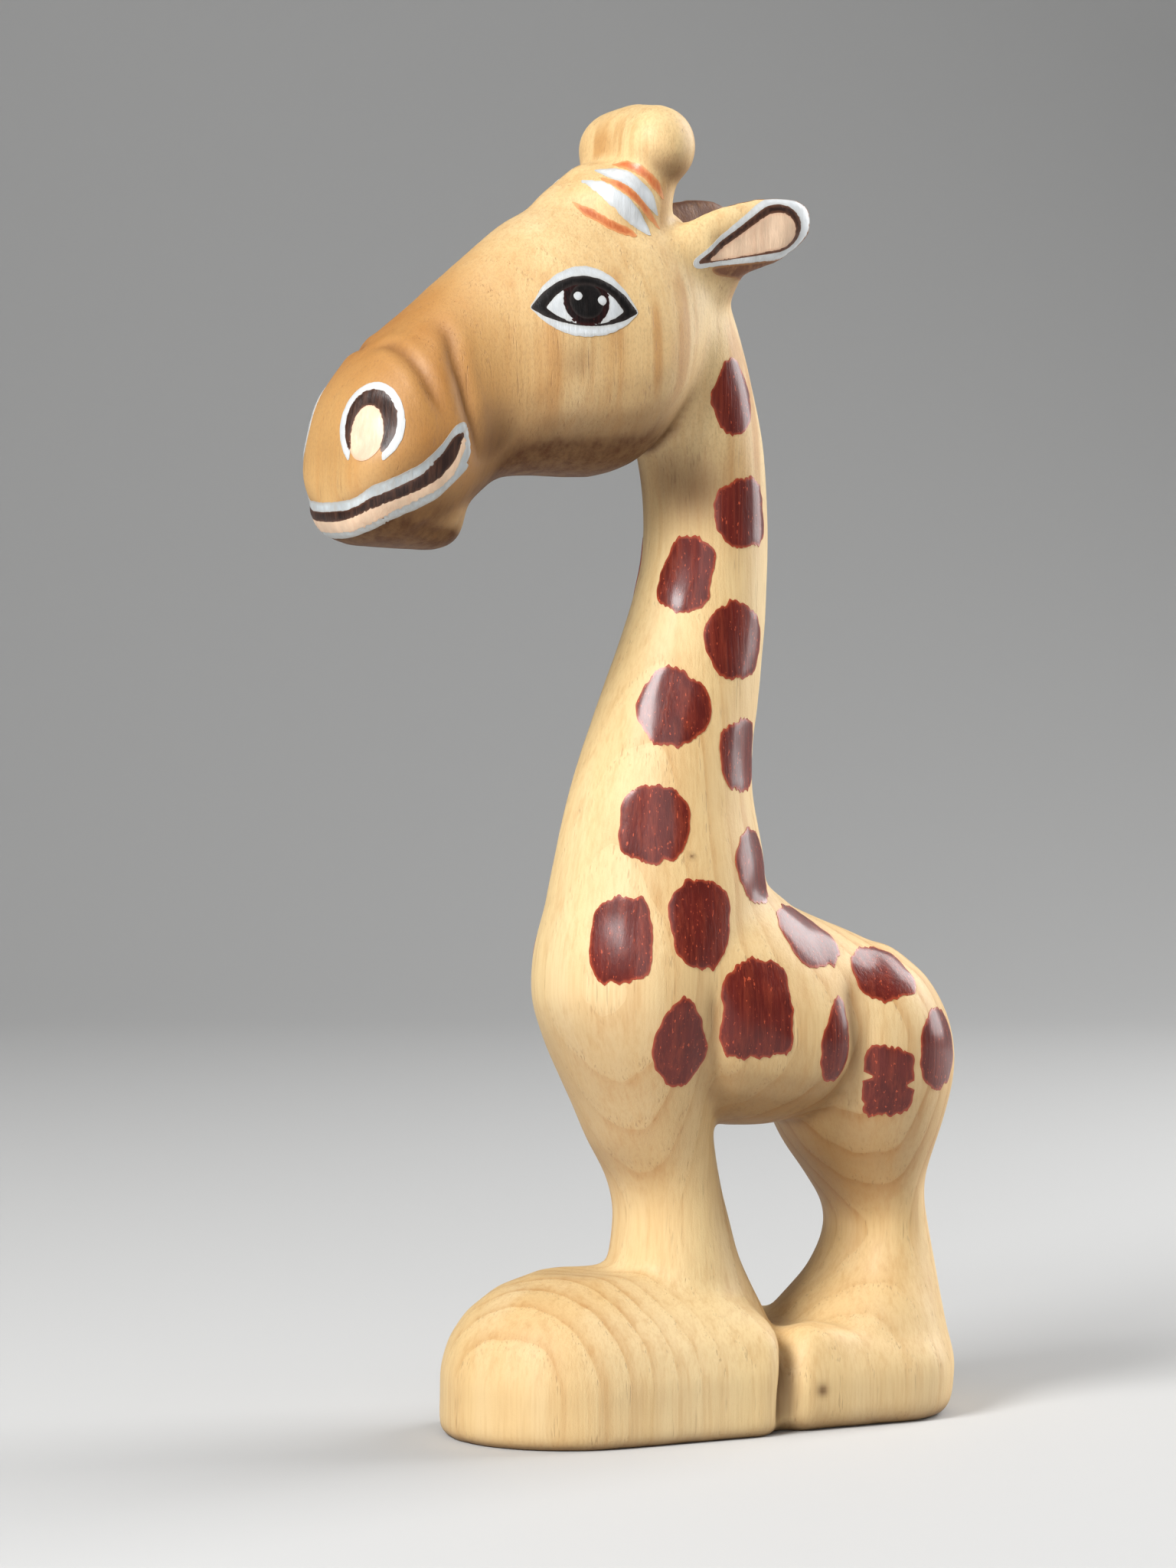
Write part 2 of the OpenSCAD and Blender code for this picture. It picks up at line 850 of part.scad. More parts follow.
forelock_orange(1);  // left_forelock_orange
forelock_white(-1);  // right_forelock_white
forelock_orange(-1);  // right_forelock_orange
spots(1, NECK_SPOTS);  // left_neck_spots
spots(1, CHEST_SPOTS);  // left_chest_spots
spots(1, FLANK_SPOTS);  // left_flank_spots
spots(1, RUMP_SPOTS);  // left_rump_spots
spots(-1, NECK_SPOTS);  // right_neck_spots
spots(-1, CHEST_SPOTS);  // right_chest_spots
spots(-1, FLANK_SPOTS);  // right_flank_spots
spots(-1, RUMP_SPOTS);  // right_rump_spots
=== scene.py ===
import json
import math

import bmesh
import bpy
import numpy as np
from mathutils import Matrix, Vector, noise
from mathutils.bvhtree import BVHTree
from mathutils.geometry import delaunay_2d_cdt

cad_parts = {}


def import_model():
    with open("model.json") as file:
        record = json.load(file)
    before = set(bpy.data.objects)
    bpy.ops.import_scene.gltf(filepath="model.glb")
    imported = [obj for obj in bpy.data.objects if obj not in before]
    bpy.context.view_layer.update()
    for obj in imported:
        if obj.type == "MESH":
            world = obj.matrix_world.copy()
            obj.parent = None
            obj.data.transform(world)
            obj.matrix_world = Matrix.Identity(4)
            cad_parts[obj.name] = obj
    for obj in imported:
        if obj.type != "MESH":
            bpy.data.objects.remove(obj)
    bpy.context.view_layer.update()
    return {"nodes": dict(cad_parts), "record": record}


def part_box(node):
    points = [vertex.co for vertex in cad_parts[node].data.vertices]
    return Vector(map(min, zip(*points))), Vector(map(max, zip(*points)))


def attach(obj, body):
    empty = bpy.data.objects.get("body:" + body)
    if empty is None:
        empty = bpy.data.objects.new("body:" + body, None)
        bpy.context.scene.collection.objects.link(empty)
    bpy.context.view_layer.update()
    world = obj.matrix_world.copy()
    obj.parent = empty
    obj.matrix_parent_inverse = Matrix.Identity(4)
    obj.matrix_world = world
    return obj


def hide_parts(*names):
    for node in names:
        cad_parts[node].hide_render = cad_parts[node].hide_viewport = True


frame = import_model()

MM = 0.001
WOOD = "carved_body"
SCENE = bpy.context.scene


# ------------------------------------------------------------------ meshes

def new_object(name, mesh):
    piece = bpy.data.objects.new(name, mesh)
    SCENE.collection.objects.link(piece)
    return piece


def points_of(mesh):
    co = np.empty(len(mesh.vertices) * 3, np.float32)
    mesh.vertices.foreach_get("co", co)
    return co.reshape(-1, 3).astype(float)


def normals_of(mesh):
    out = np.empty(len(mesh.vertices) * 3, np.float32)
    mesh.vertex_normals.foreach_get("vector", out)
    return out.reshape(-1, 3).astype(float)


def set_points(mesh, points):
    mesh.vertices.foreach_set("co", points.astype(np.float32).ravel())
    mesh.update()


def smooth_shading(mesh):
    mesh.polygons.foreach_set("use_smooth", np.ones(len(mesh.polygons), bool))
    mesh.update()


def blurred(values, edges, rounds):
    """Values on vertices after that many rounds of half-way averaging with their neighbours."""
    count = np.bincount(edges.ravel(), minlength=len(values)).astype(float)
    count[count == 0] = 1
    a, b = edges[:, 0], edges[:, 1]
    flat = values.reshape(len(values), -1)
    for _ in range(rounds):
        total = np.empty_like(flat)
        for c in range(flat.shape[1]):
            column = flat[:, c]
            total[:, c] = (np.bincount(a, column[b], len(flat)) + np.bincount(b, column[a], len(flat)))
        flat = 0.5 * flat + 0.5 * total / count[:, None]
    return flat.reshape(values.shape)


def edges_of(mesh):
    out = np.empty(len(mesh.edges) * 2, np.int32)
    mesh.edges.foreach_get("vertices", out)
    return out.reshape(-1, 2)


def tree_of(mesh):
    """A search tree of a mesh's faces."""
    return BVHTree.FromPolygons([v.co for v in mesh.vertices], [tuple(p.vertices) for p in mesh.polygons])


def smoothstep(t):
    t = np.clip(t, 0, 1)
    return t * t * (3 - 2 * t)


# ------------------------------------------------------------------ the carved wood

VOXEL = 0.55 * MM
SMOOTH_ROUNDS = 34


def remeshed(source, name, voxel):
    """An even mesh of a CAD node's shape."""
    rough = new_object(name + "_rough", source.data.copy())
    remesh = rough.modifiers.new("Remesh", "REMESH")
    remesh.mode = "VOXEL"
    remesh.voxel_size = voxel
    graph = bpy.context.evaluated_depsgraph_get()
    mesh = bpy.data.meshes.new_from_object(rough.evaluated_get(graph))
    bpy.data.objects.remove(rough)
    mesh.name = name
    return mesh


def soften(mesh):
    """Blends the facets and the joins of the carving, and keeps its size."""
    points, edges = points_of(mesh), edges_of(mesh)
    soft = blurred(points, edges, SMOOTH_ROUNDS)
    set_points(mesh, soft + blurred(points - soft, edges, SMOOTH_ROUNDS))


# Creases cut into the wood. Each is the points it runs through, in mm, its half width and its depth.
CREASES = {
    "behind_the_nose": (
        [(0, -40, 142.2), (4, -38.7, 142.8), (8, -38, 141.4), (11, -37, 139), (12.3, -36, 136),
         (12.8, -34, 132)],
        0.75, 0.55),
    "before_the_cheek": (
        [(2, -33, 147.4), (9, -32.6, 144), (11, -32.5, 140.5), (12, -31.7, 137), (12.3, -30.8, 133.5),
         (11.6, -29.2, 129), (10.9, -29.4, 126)],
        0.85, 0.65),
    "mouth": (
        [(-0.5, -45.8, 121.5), (4.5, -45.2, 121.9), (9.3, -43.9, 123.3), (12.3, -38.9, 125.8),
         (12.8, -34.8, 128.4), (12.6, -32.0, 131.4)],
        1.3, 0.45),
    "thigh": (
        [(12, 26, 62), (13.8, 24.5, 57.5), (14.7, 24.5, 53.5), (14.3, 24.9, 49.4), (12.1, 24.5, 45.1),
         (9.1, 23.8, 41.8)],
        1.5, 0.6),
    "front_leg": (
        [(14.8, 3.6, 62), (14.6, 3.4, 53.3), (12.9, 4.5, 48.1), (8.7, 6.9, 42.6)],
        1.4, 0.6),
    "ear": (
        [(10.8, 4.6, 154.6), (12.3, 9.4, 156.8), (13, 14.8, 159)],
        2.4, 0.8),
    "between_the_feet": (
        [(15.5, 13.7, -2), (15.4, 13.8, 3), (14.6, 14.0, 8), (12.4, 14.8, 11.6), (9.5, 15.6, 13.6)],
        1.5, 0.9),
    "under_the_chin": (
        [(10, -37, 119.8), (7.5, -33, 118.2), (6, -27.5, 121)],
        1.6, 0.5),
}
# Hollows and, with a depth below nothing, swellings: the middle in mm, the radius and the depth.
HOLLOWS = {
    "left_nostril": ((9.6, -43.8, 132.4), 3.6, 0.9),
    "right_nostril": ((-10.8, -42.3, 132.4), 3.6, 0.9),
    "left_cheek": ((10.9, -25.8, 130.6), 4.2, 0.5),
    "right_cheek": ((-10.9, -25.8, 130.6), 4.2, 0.5),
    "left_eyeball": ((12.4, -14.6, 148.0), 5.0, -0.4),
    "right_eyeball": ((-12.4, -14.6, 148.0), 5.0, -0.4),
    "left_heel": ((11.2, 19.6, 13.2), 4.6, -1.5),
    "right_heel": ((-11.2, 19.6, 13.2), 4.6, -1.5),
}
# Darker brown on the wood: the middle in mm, the radius and the strength. The knot and the mark on the left
# are stains in the wood and only on that side; the rest, on both sides, are partly stain and partly painted
# shade where shade falls, under the jaw and head, behind the mouth and leg, on the chin and below the eye.
STAINS_AND_PAINTED_SHADE = {
    "behind_the_mouth": ((10.6, -25.4, 129.6), 5.0, 0.8),
    "under_the_jaw": ((8.5, -19.5, 128.0), 5.2, 0.75),
    "chin": ((9.6, -31.5, 121.0), 3.6, 0.7),
    "chin_tip": ((8.6, -28.2, 118.4), 3.6, 0.8),
    "below_the_eye": ((13.2, -16.0, 140.3), 2.8, 0.4),
    "under_the_head": ((4.5, 2.6, 125.6), 6.0, 0.65),
    "neck_below_the_jaw": ((7.5, 4.0, 124.4), 5.5, 0.8),
    "behind_the_leg": ((13.0, 8.5, 43.5), 2.5, 0.5),
    "left_knot": ((15.2, 19.1, 5.5), 0.9, 0.95),
    "left_neck_mark": ((12.7, 1.1, 76.5), 0.4, 0.9),
}
KNIFE_MARKS = 0.10
# The wood rises a little beside a crease, that many half widths from its middle.
LIP_RISE = 0.2
LIP_AWAY = 2.4
# How dark the creases get, partly brown stain and partly painted shade, and the hollows, painted shade.
CREASE_STAIN_AND_SHADE = 0.95
HOLLOW_SHADE = 0.4
# Painted shade on the faces that look down, stronger under the head.
UNDERSIDE_SHADE = 0.70
UNDER_HEAD_SHADE = 0.28


def curve_through(points, steps=6):
    """A smooth line through the points (Catmull-Rom)."""
    p = np.array(points, float)
    p = np.vstack([2 * p[0] - p[1], p, 2 * p[-1] - p[-2]])
    line = []
    for a, b, c, d in zip(p, p[1:], p[2:], p[3:]):
        for t in np.arange(steps) / steps:
            line.append(0.5 * (2 * b + (c - a) * t + (2 * a - 5 * b + 4 * c - d) * t ** 2
                               + (3 * b - a - 3 * c + d) * t ** 3))
    return np.array(line + [p[-2]])


def from_line(points, line):
    """How far points are from a line, and how far along it their nearest place is, 0 to 1."""
    best = np.full(len(points), np.inf)
    place = np.zeros(len(points))
    for i in range(len(line) - 1):
        step = line[i + 1] - line[i]
        share = np.clip((points - line[i]) @ step / (step @ step), 0, 1)
        gap = np.linalg.norm(points - line[i] - share[:, None] * step, axis=1)
        closer = gap < best
        best[closer] = gap[closer]
        place[closer] = (i + share[closer]) / (len(line) - 1)
    return best, place


def knife_marks(points):
    """Shallow uneven facets, as a knife leaves them, in mm."""
    marks = np.empty(len(points))
    for i, p in enumerate(points):
        cell = Vector((p[0] * 0.16, p[1] * 0.16, p[2] * 0.10))
        marks[i] = noise.noise(cell) + 0.5 * noise.noise(cell * 2.3)
    return marks * KNIFE_MARKS


def sculpt(mesh):
    """Cuts the creases and hollows, and keeps as a mesh attribute the stain in the wood together with the
    painted shade in the creases, hollows and on the faces that look down.
    """
    points, normals = points_of(mesh) / MM, normals_of(mesh)
    raised = knife_marks(points)
    stain_and_shade = np.zeros(len(points))
    for line_points, width, depth in CREASES.values():
        for side in (1, -1):
            line = curve_through(line_points) * (side, 1, 1)
            gap, place = from_line(points, line)
            fade = smoothstep(4 * place) * smoothstep(4 * (1 - place)) * depth
            t = gap / width
            raised += fade * (LIP_RISE * np.exp(-(t - LIP_AWAY) ** 2) - np.exp(-t ** 1.5))
            # Darker along the crease: partly brown stain, partly painted shade.
            stain_and_shade = np.maximum(stain_and_shade, CREASE_STAIN_AND_SHADE * fade * np.exp(-t ** 2))
    for middle, radius, depth in HOLLOWS.values():
        t = np.linalg.norm(points - middle, axis=1) / radius
        raised -= depth * np.exp(-t ** 4 if depth > 0 else -t ** 2)
        # Painted shade in the hollows.
        stain_and_shade = np.maximum(stain_and_shade, max(0.0, HOLLOW_SHADE * depth) * np.exp(-t ** 2))
    folded = np.column_stack([np.abs(points[:, 0]), points[:, 1:]])
    # Brown at the listed places: real stains, and partly painted shade under the head.
    for name, (middle, radius, depth) in STAINS_AND_PAINTED_SHADE.items():
        t = np.linalg.norm((points if name.startswith("left") else folded) - middle, axis=1)
        stain_and_shade = np.maximum(stain_and_shade, depth * np.exp(-(t / radius) ** 2))
    # Painted shade: darker on the faces that look down, and more so under the head and jaw.
    low = smoothstep((0.1 - normals[:, 2]) / 0.95)
    in_head = smoothstep((points[:, 2] - 108) / 8) * smoothstep((6 - points[:, 1]) / 10)
    stain_and_shade = np.maximum(stain_and_shade, low * (UNDERSIDE_SHADE + UNDER_HEAD_SHADE * in_head))
    set_points(mesh, (points + normals * raised[:, None]) * MM)
    mesh.attributes.new("stain_and_shade", "FLOAT", "POINT").data.foreach_set("value", stain_and_shade.astype(np.float32))


def carved_wood():
    source = frame["nodes"][WOOD]
    mesh = remeshed(source, "carved_wood", VOXEL)
    soften(mesh)
    sculpt(mesh)
    smooth_shading(mesh)
    piece = new_object("carved_wood", mesh)
    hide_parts(WOOD)
    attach(piece, "root")
    return piece


wood_piece = carved_wood()
wood_mesh = wood_piece.data
WOOD_TREE = tree_of(wood_mesh)
WOOD_NORMALS = normals_of(wood_mesh)
CAD_TREE = tree_of(frame["nodes"][WOOD].data)


def wood_normal(face, place):
    """The smooth surface normal at a place on a face of the wood."""
    polygon = wood_mesh.polygons[face]
    total = Vector((0, 0, 0))
    for i in polygon.vertices:
        gap = (wood_mesh.vertices[i].co - place).length + 0.02 * MM
        total += Vector(WOOD_NORMALS[i]) / gap
    return total.normalized()


# ------------------------------------------------------------------ paint films

FILM_BACK = 0.12 * MM
FILM_SLOPE = 0.6 * MM
FILM_RIM = 0.07 * MM
EDGE_STEP = 0.26 * MM
GRID_STEP = 0.55 * MM
# The rows of the grid are that much closer together than its columns.
ROW_SHARE = 0.87
SAME_POINT = 0.0005 * MM
SMALLEST_PATCH = 0.3 * MM
SHARP_EDGE = math.radians(40)
# How far a ray looks for the film, and, from that many mm above the film, for the wood.
FILM_REACH = 60 * MM
ABOVE_FILM = 0.8
WOOD_REACH = 2.6 * MM
# How much the slow wander of an outline is, compared with its teeth.
WANDER = 1.15
# The lowest spot on the left rump was brushed on in three strokes, with gaps at its sides.
LOW_SPOT_TOP = 47 * MM
LOW_SPOT_NOTCH = 2.6 * MM
# Films that go round an edge of the wood, and how often their meshes are smoothed.
WRAPPED = ("ear_back",)
WRAPPED_ROUNDS = 12
MOUTH_AXIS_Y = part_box("upper_lip_line")[1].y
MOUTH_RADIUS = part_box("upper_lip_line")[1].x


def outer_faces(node):
    """The corners of a film's outward faces as triangles, with shared points welded."""
    mesh = frame["nodes"][node].data
    welded, index, faces = [], {}, []

    def weld(co):
        key = tuple(round(c / SAME_POINT) for c in co)
        if key not in index:
            index[key] = len(welded)
            welded.append(co.copy())
        return index[key]

    for polygon in mesh.polygons:
        hit = CAD_TREE.find_nearest(polygon.center)
        if polygon.normal.dot(hit[1]) > 0.5:
            corners = [weld(mesh.vertices[i].co) for i in polygon.vertices]
            if len(set(corners)) == 3:
                faces.append(corners)
    return welded, faces


def patches(faces):
    """Splits triangles into groups that share points."""
    parent = {}

    def root(i):
        while parent.setdefault(i, i) != i:
            parent[i] = parent[parent[i]]
            i = parent[i]
        return i

    for a, b, c in faces:
        parent[root(a)] = root(b)
        parent[root(b)] = root(c)
    groups = {}
    for face in faces:
        groups.setdefault(root(face[0]), []).append(face)
    return [groups[key] for key in sorted(groups)]


def loops(faces):
    """The boundary loops of a patch of triangles, as lists of point numbers."""
    edges = {}
    for a, b, c in faces:
        for edge in ((a, b), (b, c), (c, a)):
            edges[edge] = True
    following = {}
    for a, b in edges:
        if (b, a) not in edges:
            following.setdefault(a, []).append(b)
    found = []
    while following:
        start = min(following)
        loop, here = [start], start
        while True:
            onward = following[here].pop()
            if not following[here]:
                del following[here]
            if onward == start or onward not in following:
                break
            loop.append(onward)
            here = onward
        found.append(loop)
    return found


class Flat:
    """A flat chart: looks straight at a patch. Its rays start that many mm away from it."""
    start = 5
    away = start * MM

    def __init__(self, points, faces):
        self.out = Vector((0, 0, 0))
        for a, b, c in faces:
            self.out += (points[b] - points[a]).cross(points[c] - points[a])
        self.out.normalize()
        self.right = Vector((0, 0, 1)).cross(self.out).normalized()
        self.up = self.out.cross(self.right)
        used = sorted({i for face in faces for i in face})
        self.centre = sum((points[i] for i in used), Vector()) / len(used)

    def flatten(self, p):
        d = p - self.centre
        return d.dot(self.right), d.dot(self.up)

    def ray(self, u, v):
        """A start well off the surface and the way to it."""
        return self.centre + self.right * u + self.up * v + self.out * self.start * MM, -self.out


class Round:
    """A chart unrolled round the snout. Its rays start that many mm away from the snout's upright axis."""
    start = 30
    away = start * MM - MOUTH_RADIUS

    def __init__(self, *_):
        pass

    def flatten(self, p):
        return math.atan2(p.x, MOUTH_AXIS_Y - p.y) * MOUTH_RADIUS, p.z

    def ray(self, u, v):
        turn = u / MOUTH_RADIUS
        out = Vector((math.sin(turn), -math.cos(turn), 0))
        return Vector((0, MOUTH_AXIS_Y, v)) + out * self.start * MM, -out


def resampled(outline, step):
    """Points evenly spaced round a closed outline."""
    points = np.array(outline)
    ends = np.roll(points, -1, axis=0)
    lengths = np.hypot(*(ends - points).T)
    along = np.concatenate([[0], np.cumsum(lengths)])
    count = max(8, int(along[-1] / step))
    marks = np.arange(count) * along[-1] / count
    closed = np.vstack([points, points[:1]])
    return np.column_stack([np.interp(marks, along, closed[:, i]) for i in (0, 1)])


def rounded(outline, rounds):
    """Takes the corners off a closed outline by averaging each point with its neighbours."""
    for _ in range(rounds):
        outline = 0.5 * outline + 0.25 * (np.roll(outline, 1, 0) + np.roll(outline, -1, 0))
    return outline


def inside(outlines, u, v):
    """Whether a chart point lies inside the outlines, by the even-odd rule."""
    crossings = 0
    for o in outlines:
        x, y = o[:, 0], o[:, 1]
        nx, ny = np.roll(x, -1), np.roll(y, -1)
        spans = (y > v) != (ny > v)
        crossings += np.count_nonzero(u < (x + (v - y) / np.where(ny == y, 1e-12, ny - y) * (nx - x))[spans])
    return crossings % 2 == 1


def outward(outline):
    """Unit normals of an outline, in the chart."""
    along = np.roll(outline, -1, 0) - np.roll(outline, 1, 0)
    out = np.column_stack([along[:, 1], -along[:, 0]])
    return out / np.maximum(np.hypot(*out.T), 1e-12)[:, None]


def area(outline):
    x, y = outline[:, 0], outline[:, 1]
    return 0.5 * np.sum(x * np.roll(y, -1) - np.roll(x, -1) * y)


def ragged(outline, teeth, seed, notch=0.0):
    """Paint that has run a little along the upright grain: teeth on the upper and lower edges."""
    if not teeth:
        return outline
    way = outward(outline) * (1 if area(outline) > 0 else -1)
    moved = outline.copy()
    for i, (u, v) in enumerate(outline):
        across = u / MM
        bite = noise.noise(Vector((across * 1.5, seed, 0.3 * np.sign(way[i, 1]))))
        bite += 0.5 * noise.noise(Vector((across * 3.4, seed + 9, 0.3 * np.sign(way[i, 1]))))
        wander = noise.noise(Vector((u / MM * 0.26, v / MM * 0.26, seed + 20)))
        wander += 0.3 * noise.noise(Vector((u / MM * 0.8, v / MM * 0.8, seed + 40)))
        moved[i, 1] += way[i, 1] * teeth * (bite - 0.1)
        moved[i] += way[i] * teeth * WANDER * wander
        gap = noise.noise(Vector((seed + 60, v / MM * 0.75, np.sign(way[i, 0]))))
        moved[i, 0] -= way[i, 0] * notch * max(0.0, gap - 0.05)
    return moved


def film_mesh(name, node, chart_kind, height, grow, teeth, soften_rounds):
    """A thin closed mesh on the wood where the CAD node's film is."""
    points, faces = outer_faces(node)
    verts, tris, cover = [], [], []
    for number, patch in enumerate(patches(faces)):
        if node.endswith(WRAPPED):
            add_wrapped_patch(verts, tris, cover, points, patch, height)
            continue
        chart = chart_kind(points, patch)
        outlines = []
        for loop in loops(patch):
            flat = np.array([chart.flatten(points[i]) for i in loop])
            if len(loop) < 3 or abs(area(flat)) < SMALLEST_PATCH ** 2:
                continue
            line = rounded(resampled(flat, EDGE_STEP), soften_rounds)
            way = outward(line) * (1 if area(line) > 0 else -1)
            outlines.append((abs(area(line)), line, way))
        if not outlines:
            continue
        outlines.sort(key=lambda o: -o[0])
        notched = node == "left_rump_spots" and chart.centre.z < LOW_SPOT_TOP
        notch = LOW_SPOT_NOTCH if notched else 0.0
        lines = []
        for rank, (_, line, way) in enumerate(outlines):
            line = line + way * (grow if rank == 0 else -grow)
            lines.append(ragged(line, teeth if rank == 0 else 0, 3.7 * number + len(node), notch))
        over = BVHTree.FromPolygons(points, patch)
        add_patch(verts, tris, cover, lines, chart, over, height)
    mesh = bpy.data.meshes.new(name)
    mesh.from_pydata(verts, [], tris)
    mesh.attributes.new("cover", "FLOAT", "POINT").data.foreach_set("value", cover)
    mesh.validate()
    smooth_shading(mesh)
    mesh.set_sharp_from_angle(angle=SHARP_EDGE)
    return mesh


def add_wrapped_patch(verts, tris, cover, points, patch, height):
    """Adds one closed film patch that goes round an edge of the wood, from its CAD faces."""
    fine = bmesh.new()
    used = {i: fine.verts.new(points[i]) for i in sorted({i for face in patch for i in face})}
    for face in patch:
        fine.faces.new([used[i] for i in face])
    for _ in range(5):
        long = [e for e in fine.edges if e.calc_length() > 1.2 * GRID_STEP]
        if not long:
            break
        bmesh.ops.subdivide_edges(fine, edges=long, cuts=1)
        bmesh.ops.triangulate(fine, faces=fine.faces[:])
    for _ in range(WRAPPED_ROUNDS):
        moved = []
        for v in fine.verts:
            along = [e for e in v.link_edges if e.is_boundary or not v.is_boundary]
            near = [e.other_vert(v).co for e in along]
            moved.append(0.5 * v.co + 0.5 * sum(near, Vector()) / len(near))
        for v, place in zip(fine.verts, moved):
            v.co = place
    fine.verts.index_update()
    rim = np.array([v.co for v in fine.verts if v.is_boundary])
    start = len(verts)
    for v in fine.verts:
        hit = WOOD_TREE.find_nearest(v.co)
        normal = wood_normal(hit[2], hit[0])
        full = float(smoothstep(np.linalg.norm(rim - v.co, axis=1).min() / FILM_SLOPE))
        verts.append(hit[0] + normal * (FILM_RIM + (height - FILM_RIM) * full))
        verts.append(hit[0] - normal * FILM_BACK)
        cover += [full, full]
    for face in fine.faces:
        corners = [start + 2 * v.index for v in face.verts]
        tris.append(corners)
        tris.append([i + 1 for i in reversed(corners)])
    for edge in fine.edges:
        if edge.is_boundary:
            loop = edge.link_loops[0]
            a, b = start + 2 * loop.vert.index, start + 2 * loop.link_loop_next.vert.index
            tris.append([b, a, a + 1, b + 1])
    fine.free()


def add_patch(verts, tris, cover, lines, chart, over, height):
    """Adds one closed film patch to the lists. Its cover is 0 at the rim and 1 well inside."""
    low = np.min([line.min(0) for line in lines], axis=0)
    high = np.max([line.max(0) for line in lines], axis=0)
    rim_points = np.vstack(lines)
    grid = []
    rows = int((high[1] - low[1]) / (GRID_STEP * ROW_SHARE)) + 1
    columns = int((high[0] - low[0]) / GRID_STEP) + 1
    for r in range(rows):
        for c in range(columns):
            u = low[0] + (c + 0.5 * (r % 2)) * GRID_STEP
            v = low[1] + (r + 0.5) * GRID_STEP * ROW_SHARE
            near = np.hypot(rim_points[:, 0] - u, rim_points[:, 1] - v).min()
            if near > 0.5 * EDGE_STEP and inside(lines, u, v):
                grid.append((u, v))
    flat = [Vector(p) for p in rim_points] + [Vector(p) for p in grid]
    edges, first = [], 0
    for line in lines:
        n = len(line)
        edges += [(first + i, first + (i + 1) % n) for i in range(n)]
        first += n
    scaled = [p / MM for p in flat]
    co, _, faces, _, _, _ = delaunay_2d_cdt(scaled, edges, [], 1, 1e-5)
    kept = []
    for face in faces:
        middle = sum((co[i] for i in face), Vector((0, 0))) / len(face) * MM
        if inside(lines, middle.x, middle.y):
            kept.append(face)
    sides = {}
    for face in kept:
        for i in range(len(face)):
            sides[(face[i], face[(i + 1) % len(face)])] = True
    rim = [edge for edge in sides if (edge[1], edge[0]) not in sides]
    on_rim = {i for edge in rim for i in edge}
    used = sorted({i for face in kept for i in face})
    start = len(verts)
    number = {}
    for i in used:
        u, v = co[i].x * MM, co[i].y * MM
        place, normal = on_wood(chart, over, u, v)
        near = 0 if i in on_rim else np.hypot(rim_points[:, 0] - u, rim_points[:, 1] - v).min()
        full = float(smoothstep(near / FILM_SLOPE))
        number[i] = start + 2 * len(number)
        verts.append(place + normal * (FILM_RIM + (height - FILM_RIM) * full))
        verts.append(place - normal * FILM_BACK)
        cover += [full, full]
    for face in kept:
        tris.append([number[i] for i in face])
        tris.append([number[i] + 1 for i in reversed(face)])
    for a, b in rim:
        tris.append([number[b], number[a], number[a] + 1, number[b] + 1])


def beside(chart, over, origin, way):
    """The place on a ray that just misses the film, as deep as the film is next to it."""
    depth = chart.away
    for _ in range(3):
        film = over.find_nearest(origin + way * depth)
        depth = (film[0] - origin).dot(way)
    return origin + way * depth


def on_wood(chart, over, u, v):
    """Where a chart point lands on the wood below the film, and the wood's normal there."""
    origin, way = chart.ray(u, v)
    film = over.ray_cast(origin, way, FILM_REACH)[0]
    if film is None:
        film = beside(chart, over, origin, way)
    hit = WOOD_TREE.find_nearest(film)
    inward = -wood_normal(hit[2], hit[0])
    straight = WOOD_TREE.ray_cast(film - inward * ABOVE_FILM * MM, inward, WOOD_REACH)
    if straight[0] is not None:
        hit = straight
    return hit[0], wood_normal(hit[2], hit[0])


# ------------------------------------------------------------------ materials

